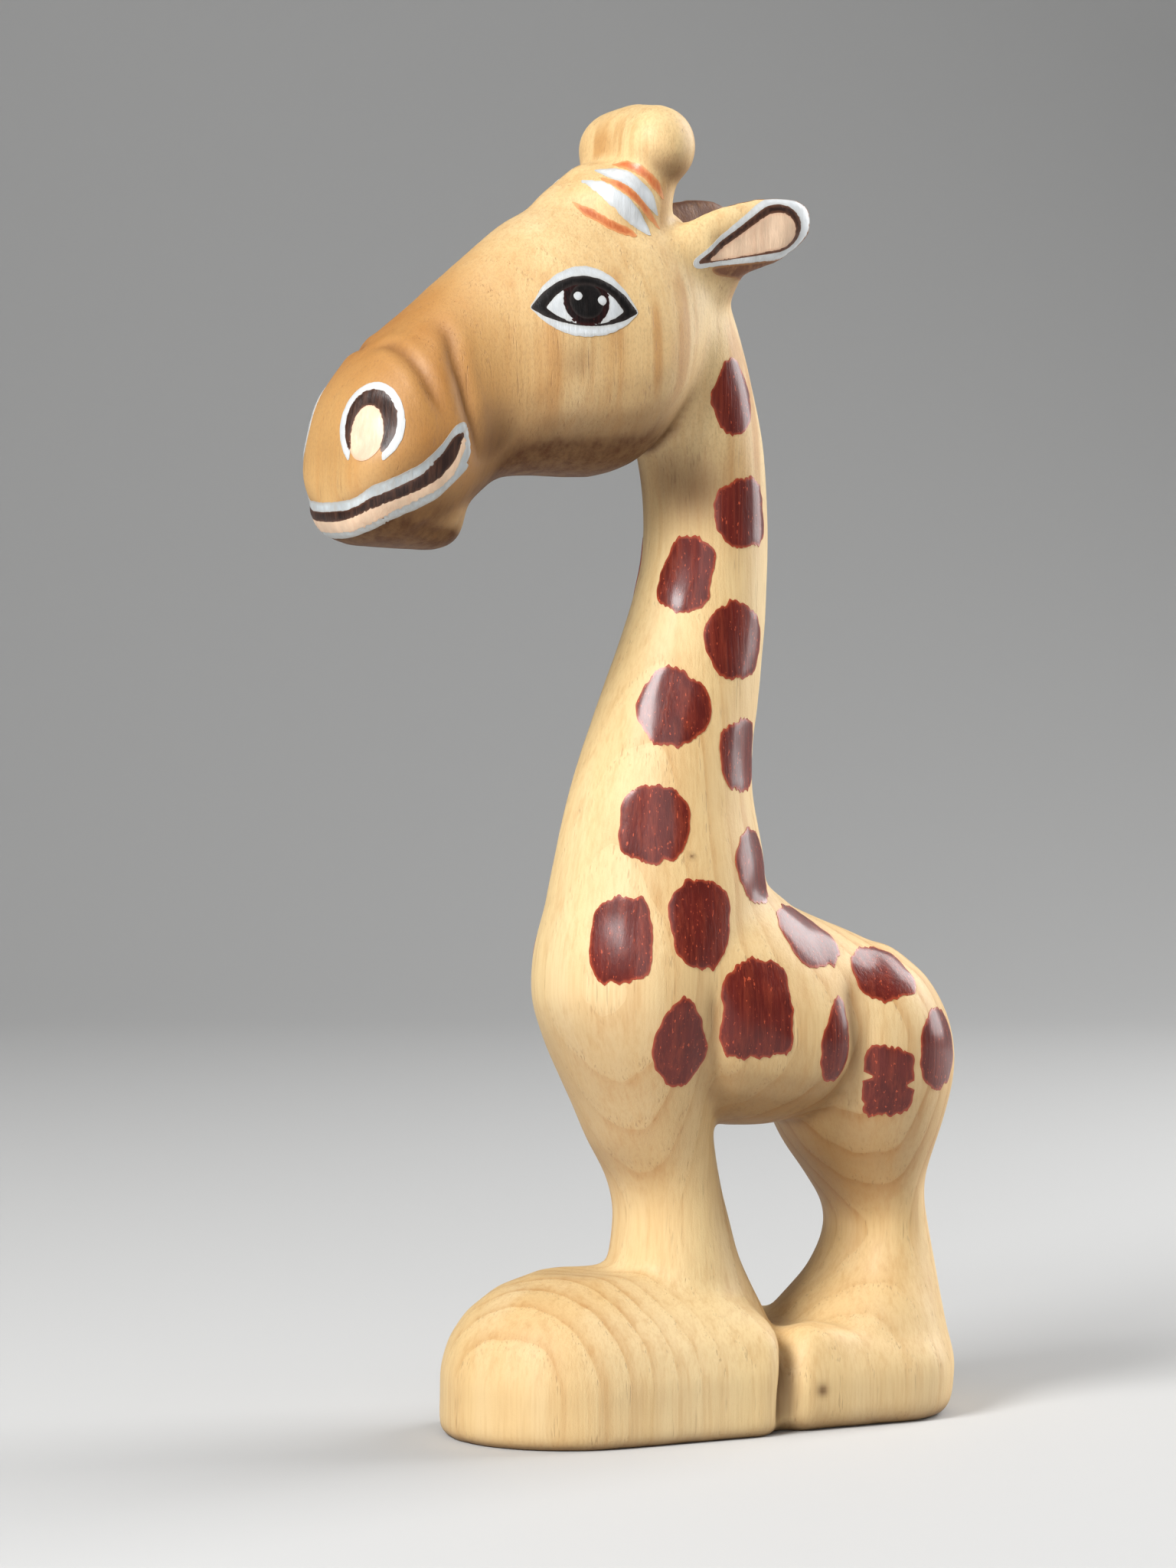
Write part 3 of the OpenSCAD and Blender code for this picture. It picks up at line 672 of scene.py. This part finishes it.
class Nodes:
    """Short ways to add nodes to a material."""

    def __init__(self, name):
        self.material = bpy.data.materials.new(name)
        self.material.use_nodes = True
        self.tree = self.material.node_tree
        self.shader = self.tree.nodes["Principled BSDF"]
        self.place = self.add("ShaderNodeTexCoord").outputs["Object"]

    def add(self, kind, **settings):
        node = self.tree.nodes.new(kind)
        for key, value in settings.items():
            setattr(node, key, value)
        return node

    def link(self, source, target):
        self.tree.links.new(source, target)

    def feed(self, node, index, value):
        if isinstance(value, bpy.types.NodeSocket):
            self.link(value, node.inputs[index])
        else:
            node.inputs[index].default_value = value

    def math(self, operation, a, b=0.0, clamp=False):
        node = self.add("ShaderNodeMath", operation=operation, use_clamp=clamp)
        self.feed(node, 0, a)
        self.feed(node, 1, b)
        return node.outputs[0]

    def mix(self, share, a, b, blend="MIX"):
        node = self.add("ShaderNodeMix", data_type="RGBA", blend_type=blend)
        self.feed(node, 0, share)
        self.feed(node, 6, a)
        self.feed(node, 7, b)
        return node.outputs[2]

    def stretched(self, scale):
        """Object coordinates multiplied by a scale along each axis."""
        node = self.add("ShaderNodeVectorMath", operation="MULTIPLY")
        self.link(self.place, node.inputs[0])
        node.inputs[1].default_value = scale
        return node.outputs[0]

    def noise(self, scale, detail=3.0, rough=0.5):
        node = self.add("ShaderNodeTexNoise", noise_dimensions="3D")
        self.link(self.stretched(scale), node.inputs["Vector"])
        node.inputs["Scale"].default_value = 1.0
        node.inputs["Detail"].default_value = detail
        node.inputs["Roughness"].default_value = rough
        return node.outputs["Fac"]

    def ramp(self, value, stops):
        """A value from a ramp of (position, value) stops."""
        node = self.add("ShaderNodeValToRGB")
        self.link(value, node.inputs[0])
        elements = node.color_ramp.elements
        while len(elements) < len(stops):
            elements.new(0.5)
        for element, (place, level) in zip(elements, stops):
            element.position = place
            element.color = (level, level, level, 1)
        return node.outputs["Color"]

    def axes(self):
        node = self.add("ShaderNodeSeparateXYZ")
        self.link(self.place, node.inputs[0])
        return node.outputs

    def steepness(self):
        """1 on upright faces, down to 0 on the crown and the other faces that look up or down."""
        node = self.add("ShaderNodeSeparateXYZ")
        self.link(self.add("ShaderNodeTexCoord").outputs["Normal"], node.inputs[0])
        level = self.math("ABSOLUTE", node.outputs[2])
        return self.math("SUBTRACT", 1.25, self.math("MULTIPLY", level, 1.7), clamp=True)

    def bump(self, height, distance):
        node = self.add("ShaderNodeBump")
        node.inputs["Distance"].default_value = distance
        node.inputs["Strength"].default_value = 1.0
        self.link(height, node.inputs["Height"])
        return node.outputs["Normal"]


RING_SPACING = 3.1 * MM
RING_TURN = math.radians(-55)
PITH_AWAY = 110 * MM
FIBRES = (700, 700, 20)
FINE_FIBRES = (2400, 2400, 90)
PORES = (3600, 3600, 230)
GRIT = (3300, 3300, 2000)
WOOD_RELIEF = 0.09 * MM
PAINT_RELIEF = 0.11 * MM
# Colours of the wood, from its early wood to its darkest stain. The darkest brown and the stain brown below
# it also colour the painted shade in the creases, hollows and undersides.
CREAM = (0.86, 0.72, 0.46)
PALE = (0.80, 0.595, 0.30)
OCHRE = (0.67, 0.41, 0.155)
AMBER = (0.52, 0.255, 0.075)
UMBER = (0.20, 0.085, 0.035)
DEEPEST_STAIN_AND_SHADE = (0.085, 0.036, 0.016)
STAIN_AND_SHADE_BROWN = tuple(1.3 * c for c in UMBER)
SNOUT_TINT = (0.80, 0.70, 0.52)
# Where the parts of the statue that have a colour of their own begin.
HEAD_ABOVE = 112 * MM
SNOUT_BEFORE = -18 * MM
NOSE_TIP_BEFORE = -40.5 * MM
FOOT_BELOW = 15 * MM
HEEL_BELOW = 34 * MM
HEEL_BEHIND = 10 * MM


def attribute(n, name):
    node = n.add("ShaderNodeAttribute", attribute_name=name)
    return node.outputs["Fac"]


def above(n, value, start, slope):
    """0 up to a start, then rising to 1."""
    return n.math("MULTIPLY", n.math("SUBTRACT", value, start), slope, clamp=True)


def below(n, value, end, slope):
    """0 down to an end, then rising to 1."""
    return n.math("MULTIPLY", n.math("SUBTRACT", end, value), slope, clamp=True)


def ring_share(n):
    """0 to 1 across each year ring. The rings lie round a far upright pith, and wander a little."""
    x, y, z = n.axes()
    wander = n.noise((30, 30, 7), 2.0)
    wave = n.noise((190, 190, 26), 2.0)
    east = n.math("ADD", x, PITH_AWAY * math.cos(RING_TURN))
    east = n.math("ADD", east, n.math("MULTIPLY", z, 0.03))
    north = n.math("ADD", y, PITH_AWAY * math.sin(RING_TURN))
    squares = n.math("ADD", n.math("MULTIPLY", east, east), n.math("MULTIPLY", north, north))
    radius = n.math("SQRT", squares)
    radius = n.math("ADD", radius, n.math("MULTIPLY", wander, 8 * MM))
    radius = n.math("ADD", radius, n.math("MULTIPLY", wave, 1.3 * MM))
    return n.math("FRACT", n.math("DIVIDE", radius, RING_SPACING))


def wood_ground(n, head):
    """The colour of the wood without its grain: blotchy and pale, and warmer on the snout and brow, with a
    paler nose tip as a painted highlight.
    """
    _, y, _ = n.axes()
    blotch = n.ramp(n.noise((26, 26, 11), 3.0), [(0.35, 0.0), (0.68, 1.0)])
    base = n.mix(n.math("MULTIPLY", blotch, 0.5), (*PALE, 1), (*OCHRE, 1))
    washed = n.ramp(n.noise((90, 90, 9), 3.0), [(0.48, 0.0), (0.64, 1.0)])
    base = n.mix(n.math("MULTIPLY", washed, 0.25), base, (*CREAM, 1))
    # Painted highlight: the nose tip keeps paler wood where the light falls on it.
    nose_tip_highlight = below(n, y, NOSE_TIP_BEFORE, 150)
    snout = n.math("SUBTRACT", below(n, y, SNOUT_BEFORE, 60), n.math("MULTIPLY", nose_tip_highlight, 0.45))
    brow = n.ramp(n.noise((55, 55, 40), 3.0), [(0.40, 0.0), (0.66, 1.0)])
    warm = n.math("ADD", n.math("MULTIPLY", snout, 0.80), n.math("MULTIPLY", brow, 0.30))
    base = n.mix(n.math("MULTIPLY", head, warm, clamp=True), base, (*AMBER, 1))
    return n.mix(n.math("MULTIPLY", head, snout, clamp=True), base, (*SNOUT_TINT, 1), "MULTIPLY")


def wood_rings(n, base, share, fibre, head):
    """Adds the dark late wood of the year rings, which is weaker on the head, the feet and the heel."""
    _, y, z = n.axes()
    late = n.ramp(share, [(0.0, 0.4), (0.06, 0.05), (0.45, 0.10), (0.78, 0.50), (0.93, 1.0)])
    strength = n.ramp(n.noise((38, 38, 13), 3.0), [(0.38, 0.12), (0.62, 1.0)])
    dashes = n.ramp(fibre, [(0.36, 1.0), (0.66, 0.55)])
    rings = n.math("MULTIPLY", n.math("MULTIPLY", late, strength), dashes)
    heel = n.math("MULTIPLY", above(n, y, HEEL_BEHIND, 100), below(n, z, HEEL_BELOW, 60))
    show = n.math("SUBTRACT", 0.68, n.math("MULTIPLY", head, 0.40))
    show = n.math("SUBTRACT", show, n.math("MULTIPLY", below(n, z, FOOT_BELOW, 90), 0.34))
    show = n.math("SUBTRACT", show, n.math("MULTIPLY", heel, 0.36), clamp=True)
    return n.mix(n.math("MULTIPLY", rings, show), base, (*AMBER, 1))


def wood_fibres(n, base, fibre, fine, head):
    """Adds the upright bands of the head and the streaks of the grain."""
    bands = n.ramp(n.noise((240, 240, 12), 2.0), [(0.50, 0.0), (0.62, 1.0)])
    bands = n.math("MULTIPLY", n.math("MULTIPLY", bands, head), n.steepness())
    base = n.mix(n.math("MULTIPLY", bands, 0.72), base, (*AMBER, 1))
    streaks = n.ramp(fibre, [(0.30, 1.0), (0.50, 0.0)])
    base = n.mix(n.math("MULTIPLY", streaks, 0.30), base, (*AMBER, 1))
    hairs = n.ramp(fine, [(0.36, 1.0), (0.54, 0.0)])
    return n.mix(n.math("MULTIPLY", hairs, 0.17), base, (*AMBER, 1))


def wood_stained_and_shaded(n, base, stain_and_shade, fibre):
    """Adds the darker brown in the creases, hollows and on the undersides: partly stain, partly painted
    shade.
    """
    deep = n.mix(n.math("MULTIPLY", stain_and_shade, 0.9), (*STAIN_AND_SHADE_BROWN, 1), (*DEEPEST_STAIN_AND_SHADE, 1))
    uneven = n.math("ADD", n.math("MULTIPLY", fibre, 0.45), 0.72)
    return n.mix(n.math("MULTIPLY", stain_and_shade, uneven, clamp=True), base, deep)


def wood_material():
    n = Nodes("pale_ash")
    _, _, z = n.axes()
    share = ring_share(n)
    fibre = n.noise(FIBRES, 5.0, 0.62)
    fine = n.noise(FINE_FIBRES, 3.0, 0.6)
    early = n.ramp(share, [(0.0, 1.0), (0.14, 0.85), (0.30, 0.12), (0.85, 0.1), (1.0, 0.8)])
    pores = n.math("MULTIPLY", n.ramp(n.noise(PORES, 1.0), [(0.61, 0.0), (0.70, 1.0)]), early)
    grit = n.ramp(n.noise(GRIT, 3.0, 0.7), [(0.48, 0.0), (0.62, 1.0)])
    # The attribute holds both the stains and the painted shade.
    stain_and_shade = n.math("MULTIPLY", attribute(n, "stain_and_shade"), 1.1, clamp=True)
    head = above(n, z, HEAD_ABOVE, 60)

    base = wood_ground(n, head)
    base = wood_rings(n, base, share, fibre, head)
    base = wood_fibres(n, base, fibre, fine, head)
    base = n.mix(n.math("MULTIPLY", pores, 0.30), base, (*UMBER, 1))
    base = wood_stained_and_shaded(n, base, stain_and_shade, fibre)
    base = n.mix(n.math("MULTIPLY", n.math("MULTIPLY", grit, head), 0.15), base, (*UMBER, 1))
    n.link(base, n.shader.inputs["Base Color"])

    relief = n.math("ADD", n.math("MULTIPLY", fibre, 0.5), n.math("MULTIPLY", fine, 0.35))
    relief = n.math("SUBTRACT", relief, n.math("MULTIPLY", pores, 0.35))
    relief = n.math("SUBTRACT", relief, n.math("MULTIPLY", grit, 0.12))
    n.link(n.bump(relief, WOOD_RELIEF), n.shader.inputs["Normal"])
    n.link(n.math("ADD", n.math("MULTIPLY", fine, 0.22), 0.46), n.shader.inputs["Roughness"])
    n.link(n.math("SUBTRACT", 0.5, n.math("MULTIPLY", stain_and_shade, 0.42)), n.shader.inputs["Specular IOR Level"])
    n.shader.inputs["Coat Weight"].default_value = 0.05
    n.shader.inputs["Coat Roughness"].default_value = 0.3
    return n.material


def paint_material(name, colour, thin, rough, show, coat=0.2, speck=0.0, gloss=0.5):
    """Brushed paint: thin at its edges and where the grain stands up, with brush lines in it.

    Show is how far the thin colour comes through on the grain, and speck how strong the pale specks are.
    """
    n = Nodes(name)
    grain = n.noise(FIBRES, 5.0, 0.62)
    fine = n.noise(FINE_FIBRES, 3.0, 0.65)
    patchy = n.noise((380, 380, 240), 3.0)
    worn = n.math("ADD", n.math("MULTIPLY", grain, 0.5), n.math("MULTIPLY", fine, 0.5))
    worn = n.ramp(worn, [(0.47, 0.0), (0.62, 1.0)])
    cover = n.math("ADD", attribute(n, "cover"), n.math("MULTIPLY", patchy, 0.5))
    bare = n.ramp(cover, [(0.35, 0.85), (1.1, 0.0)])
    base = n.mix(n.ramp(patchy, [(0.35, 0.0), (0.65, 1.0)]), (*colour, 1), (*[c * 0.74 for c in colour], 1))
    base = n.mix(n.math("MAXIMUM", n.math("MULTIPLY", worn, show), bare), base, (*thin, 1))
    if speck:
        specks = n.ramp(n.noise((3000, 3000, 1400), 2.0), [(0.66, 0.0), (0.70, 1.0)])
        base = n.mix(n.math("MULTIPLY", specks, speck), base, (*[min(1, 2.6 * c) for c in thin], 1))
    n.link(base, n.shader.inputs["Base Color"])
    relief = n.math("ADD", n.math("MULTIPLY", grain, 0.5), n.math("MULTIPLY", fine, 0.5))
    relief = n.math("ADD", relief, n.math("MULTIPLY", n.noise((1500, 1500, 600), 3.0, 0.7), 0.5))
    n.link(n.bump(relief, PAINT_RELIEF), n.shader.inputs["Normal"])
    n.link(n.math("ADD", n.math("MULTIPLY", fine, 0.2), rough), n.shader.inputs["Roughness"])
    n.shader.inputs["Specular IOR Level"].default_value = gloss
    n.shader.inputs["Coat Weight"].default_value = coat
    n.shader.inputs["Coat Roughness"].default_value = 0.18
    return n.material


WOOD_MATERIAL = wood_material()
PAINTS = {
    "white_paint": paint_material(
        "white_paint", (0.70, 0.73, 0.75), (0.52, 0.52, 0.50), 0.36, show=0.4),
    # A greyer, bluer white for the lip lines; on the lower line it stands partly for painted shade.
    "grey_white_and_shade": paint_material(
        "grey_white_and_shade", (0.56, 0.61, 0.63), (0.40, 0.37, 0.33), 0.40, show=0.55),
    "black_paint": paint_material(
        "black_paint", (0.006, 0.005, 0.005), (0.03, 0.022, 0.02), 0.34, show=0.25, coat=0.02, gloss=0.22),
    "iris_paint": paint_material(
        "iris_paint", (0.008, 0.003, 0.003), (0.035, 0.006, 0.005), 0.34, show=0.55, coat=0.02,
        speck=0.35, gloss=0.22),
    "brown_paint": paint_material(
        "brown_paint", (0.026, 0.011, 0.008), (0.14, 0.06, 0.035), 0.34, show=0.4, coat=0.08, gloss=0.3),
    # Brown on the backs of the ears: brown paint, and below the ear and on the nape partly painted shade.
    "ear_brown_and_shade": paint_material(
        "ear_brown_and_shade", (0.17, 0.065, 0.028), (0.36, 0.18, 0.075), 0.42, show=0.5, coat=0.0, gloss=0.35),
    "pink_paint": paint_material(
        "pink_paint", (0.84, 0.60, 0.41), (0.66, 0.40, 0.26), 0.42, show=0.4),
    "orange_paint": paint_material(
        "orange_paint", (0.66, 0.17, 0.05), (0.72, 0.32, 0.12), 0.36, show=0.4),
    "oxblood_paint": paint_material(
        "oxblood_paint", (0.135, 0.014, 0.009), (0.40, 0.065, 0.026), 0.32, show=0.3, coat=0.5,
        speck=0.4, gloss=0.22),
}


# ------------------------------------------------------------------ the painted features

# Each kind of film: how high it lies, how far its outline grows and how long its ragged teeth are, all
# in mm, and how many rounds of smoothing take its corners off. A wrapped film has only its height.
FILM_KINDS = {
    "eye_surround": (0.08, 0.0, 0.10, 3),
    "eye_liner": (0.22, 0.02, 0.04, 1),
    "eye_white": (0.09, 0.08, 0.0, 1),
    "eye_iris": (0.08, 0.22, 0.0, 1),
    "eye_pupil": (0.12, 0.30, 0.0, 1),
    "eye_glints": (0.19, 0.05, 0.0, 0),
    "nostril_ring": (0.12, 0.0, 0.06, 3),
    "nostril_shade": (0.10, 0.30, 0.06, 2),
    "nostril_fill": (0.08, 0.0, 0.04, 3),
    "upper_lip_line": (0.12, 0.05, 0.06, 4),
    "mouth_line": (0.14, 0.28, 0.06, 4),
    "lower_lip": (0.09, 0.4, 0.0, 3),
    "lower_lip_line": (0.12, 0.05, 0.06, 4),
    "ear_rim": (0.11, 0.0, 0.08, 3),
    "ear_line": (0.10, 0.04, 0.08, 2),
    "ear_fill": (0.08, 0.04, 0.0, 2),
    "ear_back": (0.07, 0.0, 0.0, 0),
    "forelock_white": (0.09, 0.0, 0.22, 3),
    "forelock_orange": (0.10, 0.03, 0.22, 3),
    "spots": (0.11, 0.08, 0.58, 3),
}
SLOT_OF = {row["node"]: row["material_slot"] for row in frame["record"]["subparts"]}
# Films whose paint isn't their slot's plain one.
OWN_PAINT = {"ear_back": "ear_brown_and_shade", "upper_lip_line": "grey_white_and_shade", "lower_lip_line": "grey_white_and_shade"}
ROUND_THE_SNOUT = ("upper_lip_line", "mouth_line", "lower_lip", "lower_lip_line")


def paint(node):
    """Makes a CAD film's piece and puts its paint on it."""
    kind = next(k for k in FILM_KINDS if node.endswith(k))
    height, grow, teeth, rounds = FILM_KINDS[kind]
    chart = Round if node in ROUND_THE_SNOUT else Flat
    name = node + "_paint"
    mesh = film_mesh(name, node, chart, height * MM, grow * MM, teeth * MM, rounds)
    piece = new_object(name, mesh)
    mesh.materials.append(PAINTS[OWN_PAINT.get(kind, SLOT_OF[node])])
    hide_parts(node)
    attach(piece, "root")


wood_mesh.materials.clear()
wood_mesh.materials.append(WOOD_MATERIAL)
for node_name in sorted(frame["nodes"]):
    if node_name != WOOD:
        paint(node_name)


# ------------------------------------------------------------------ floor, camera and lights

def plain_material(name, colour, rough):
    n = Nodes(name)
    n.shader.inputs["Base Color"].default_value = (*colour, 1)
    n.shader.inputs["Roughness"].default_value = rough
    return n.material


def floor():
    """A pale floor that curves up behind the statue."""
    half, front, depth, top, radius, steps = 1.6, -1.6, 1.1, 1.9, 0.5, 16
    profile = [(front, 0.0), (depth - radius, 0.0)]
    for i in range(1, steps + 1):
        a = math.pi / 2 * i / steps
        profile.append((depth - radius + radius * math.sin(a), radius - radius * math.cos(a)))
    profile.append((depth, top))
    away = math.radians(CAMERA_DEGREES + 180)
    back = Vector((math.sin(away), -math.cos(away), 0))
    side = Vector((back.y, -back.x, 0))
    verts, faces = [], []
    for along, up in profile:
        for s in (-half, half):
            verts.append(back * along + side * s + Vector((0, 0, up)))
    for i in range(len(profile) - 1):
        faces.append((2 * i, 2 * i + 1, 2 * i + 3, 2 * i + 2))
    mesh = bpy.data.meshes.new("floor")
    mesh.from_pydata(verts, [], faces)
    smooth_shading(mesh)
    mesh.materials.append(plain_material("floor_paper", (0.54, 0.54, 0.535), 0.7))
    piece = new_object("floor", mesh)


CAMERA_DEGREES = 63
CAMERA_TURN = math.radians(CAMERA_DEGREES)
CAMERA_RISE = math.radians(2.6)
CAMERA_AWAY = 0.7
CAMERA_LENS = 122.0
CAMERA_AIM = Vector((0, -0.0077, 0.0856))


def from_aim(turn, rise, away):
    """A point that far from the camera's aim, at a turn round the statue and a rise above level."""
    back = Vector((math.sin(turn) * math.cos(rise), -math.cos(turn) * math.cos(rise), math.sin(rise)))
    return CAMERA_AIM + back * away


def face_aim(thing):
    thing.rotation_euler = (CAMERA_AIM - thing.location).to_track_quat("-Z", "Y").to_euler()


def camera():
    data = bpy.data.cameras.new("camera")
    data.lens = CAMERA_LENS
    data.sensor_width = 36
    data.clip_start = 0.01
    thing = new_object("camera", data)
    thing.location = from_aim(CAMERA_TURN, CAMERA_RISE, CAMERA_AWAY)
    face_aim(thing)
    SCENE.camera = thing


def light(name, turn, rise, away, size, power):
    """A square soft light. Turn is to the right of the camera and rise above level, in degrees."""
    data = bpy.data.lights.new(name, "AREA")
    data.size = size
    data.energy = power
    thing = new_object(name, data)
    thing.location = from_aim(CAMERA_TURN + math.radians(turn), math.radians(rise), away)
    face_aim(thing)


def world():
    SCENE.world = bpy.data.worlds.new("studio")
    SCENE.world.use_nodes = True
    background = SCENE.world.node_tree.nodes["Background"]
    background.inputs["Color"].default_value = (0.92, 0.95, 1.0, 1)
    background.inputs["Strength"].default_value = 0.03
    SCENE.view_settings.view_transform = "Standard"


floor()
camera()
world()
light("key", turn=-42, rise=36, away=0.75, size=0.28, power=7.2)
light("rim", turn=122, rise=34, away=0.7, size=0.4, power=4.0)
light("fill", turn=4, rise=14, away=0.9, size=0.5, power=1.6)
light("edge", turn=112, rise=12, away=0.8, size=0.35, power=2.6)
light("top", turn=10, rise=82, away=0.8, size=0.5, power=1.0)
